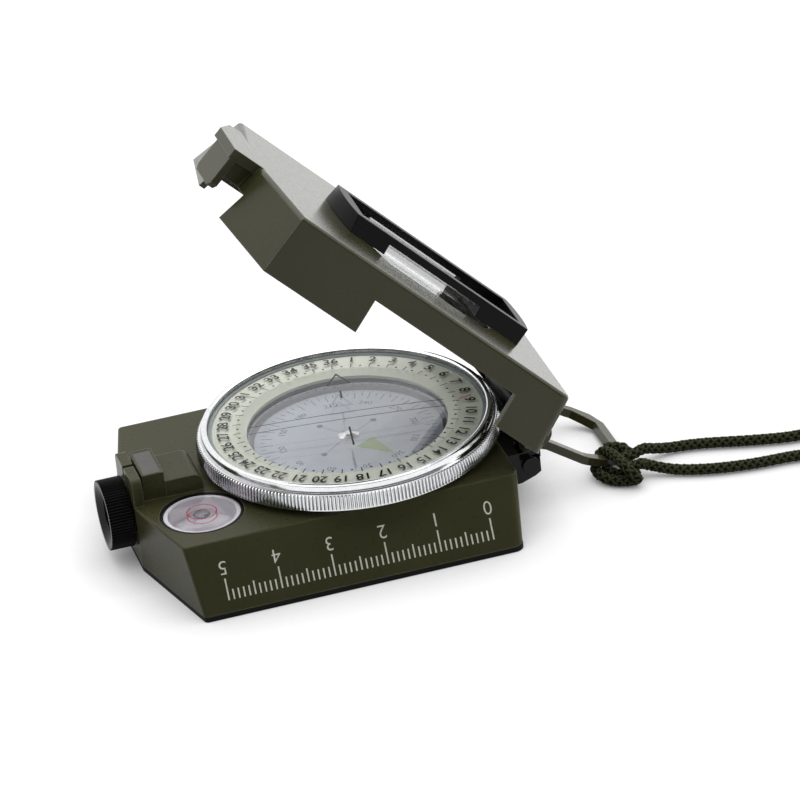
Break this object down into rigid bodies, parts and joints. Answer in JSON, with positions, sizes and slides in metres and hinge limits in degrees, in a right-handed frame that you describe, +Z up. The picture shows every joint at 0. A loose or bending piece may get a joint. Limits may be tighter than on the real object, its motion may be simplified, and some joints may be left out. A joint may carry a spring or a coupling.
{
  "type": "folding sighting compass with inclinometer",
  "caption": "Folding sighting compass in an olive case, with inclinometer disc, knurled bezel, bubble level, lensed eyepiece, hinged sight lid, thumb ring and braided lanyard.",
  "frame": {"origin": "on the dial axis at the underside of the bottom cover, at the mouth of the tripod socket", "axes": "+X from the eyepiece to the hinge, +Y away from the ruler edge, +Z up along the dial axis"},
  "size_m": [0.1676, 0.0643, 0.0786],
  "materials": {
    "olive_paint": "satin",
    "olive_lid": "satin",
    "black_metal": "satin",
    "black_plastic": "matte",
    "black_cover": "matte",
    "bezel_metal": "polished knurled",
    "scale_cream": "printed",
    "dial_crystal": "clear",
    "bowl_plastic": "gloss",
    "bowl_clear": "clear",
    "card_print": "printed",
    "magnet_steel": "bare",
    "cap_metal": "polished",
    "disc_print": "printed",
    "weight_brass": "bare",
    "brass": "turned",
    "steel": "bare",
    "track_metal": "anodised",
    "gasket_rubber": "matte",
    "level_plastic": "gloss",
    "level_fluid": "clear",
    "prism_glass": "clear",
    "lens_glass": "coated",
    "window_glass": "clear",
    "insert_clear": "clear",
    "strip_cream": "luminous",
    "wire_steel": "bare",
    "cord_braid": "braided"
  },
  "bodies": {
    "base": {"base_housing": "olive_paint", "bottom_cover": "black_cover", "cover_screws": "steel", "tripod_bush": "brass", "dial_bowl": "bowl_plastic", "bowl_glass": "bowl_clear", "pivot_post": "steel", "track_ring": "track_metal", "track_screws": "steel", "sight_prism": "prism_glass", "eyepiece_sleeve": "brass", "level_seal": "gasket_rubber", "level_cup": "level_plastic", "level_vial": "level_fluid", "hinge_bracket": "black_metal", "bracket_screws": "black_metal", "bracket_pins": "black_metal", "hinge_pin": "steel", "ring_pin": "steel", "lanyard_strand_upper": "cord_braid", "lanyard_strand_lower": "cord_braid", "lanyard_coil": "cord_braid"},
    "bezel": {"bezel_ring": "bezel_metal", "scale_ring": "scale_cream", "dial_plate": "dial_crystal", "crystal_gasket": "gasket_rubber", "crystal": "dial_crystal"},
    "card": {"compass_card": "card_print", "card_magnet": "magnet_steel", "card_cap": "cap_metal"},
    "clinometer": {"clinometer_disc": "disc_print", "clinometer_weight": "weight_brass"},
    "eyepiece": {"eyepiece_tube": "black_metal", "eyepiece_lens": "lens_glass", "lens_retainer": "black_metal"},
    "knob": {"focus_knob": "black_plastic"},
    "lid": {"lid_shell": "olive_lid", "lid_window": "window_glass", "sight_frame": "black_plastic", "sight_insert": "insert_clear", "luminous_strip": "strip_cream", "sight_wire": "wire_steel", "frame_screws": "steel"},
    "ring": {"thumb_ring": "olive_lid", "lanyard_knot": "cord_braid"}
  },
  "joints": [
    {"name": "lid_hinge", "type": "hinge", "parent": "base", "child": "lid", "pos_m": [0.0321, 0, 0.0142], "axis": [0, 1, 0], "range_deg": [-46, 73.9]},
    {"name": "bezel_spin", "type": "hinge", "parent": "base", "child": "bezel", "pos_m": [0, 0, 0.015], "axis": [0, 0, 1], "continuous": true},
    {"name": "card_swing", "type": "hinge", "parent": "base", "child": "card", "pos_m": [0, 0, 0.0141], "axis": [0, 0, 1], "continuous": true},
    {"name": "clinometer_swing", "type": "hinge", "parent": "base", "child": "clinometer", "pos_m": [0, 0, 0.01025], "axis": [0, 0, 1], "continuous": true},
    {"name": "eyepiece_travel", "type": "slide", "parent": "base", "child": "eyepiece", "axis": [-1, 0, 0], "range_m": [0, 0.002]},
    {"name": "focus_turn", "type": "hinge", "parent": "base", "child": "knob", "pos_m": [-0.045, 0, 0.0091], "axis": [1, 0, 0], "range_deg": [0, 270]},
    {"name": "thumb_ring_swing", "type": "hinge", "parent": "base", "child": "ring", "pos_m": [0.0306, 0, 0.0114], "axis": [0, 1, 0], "range_deg": [-46, 53]}
  ],
  "couplings": [
    {"joint": "focus_turn", "follows": "eyepiece_travel", "rad_per_m": 2356}
  ]
}
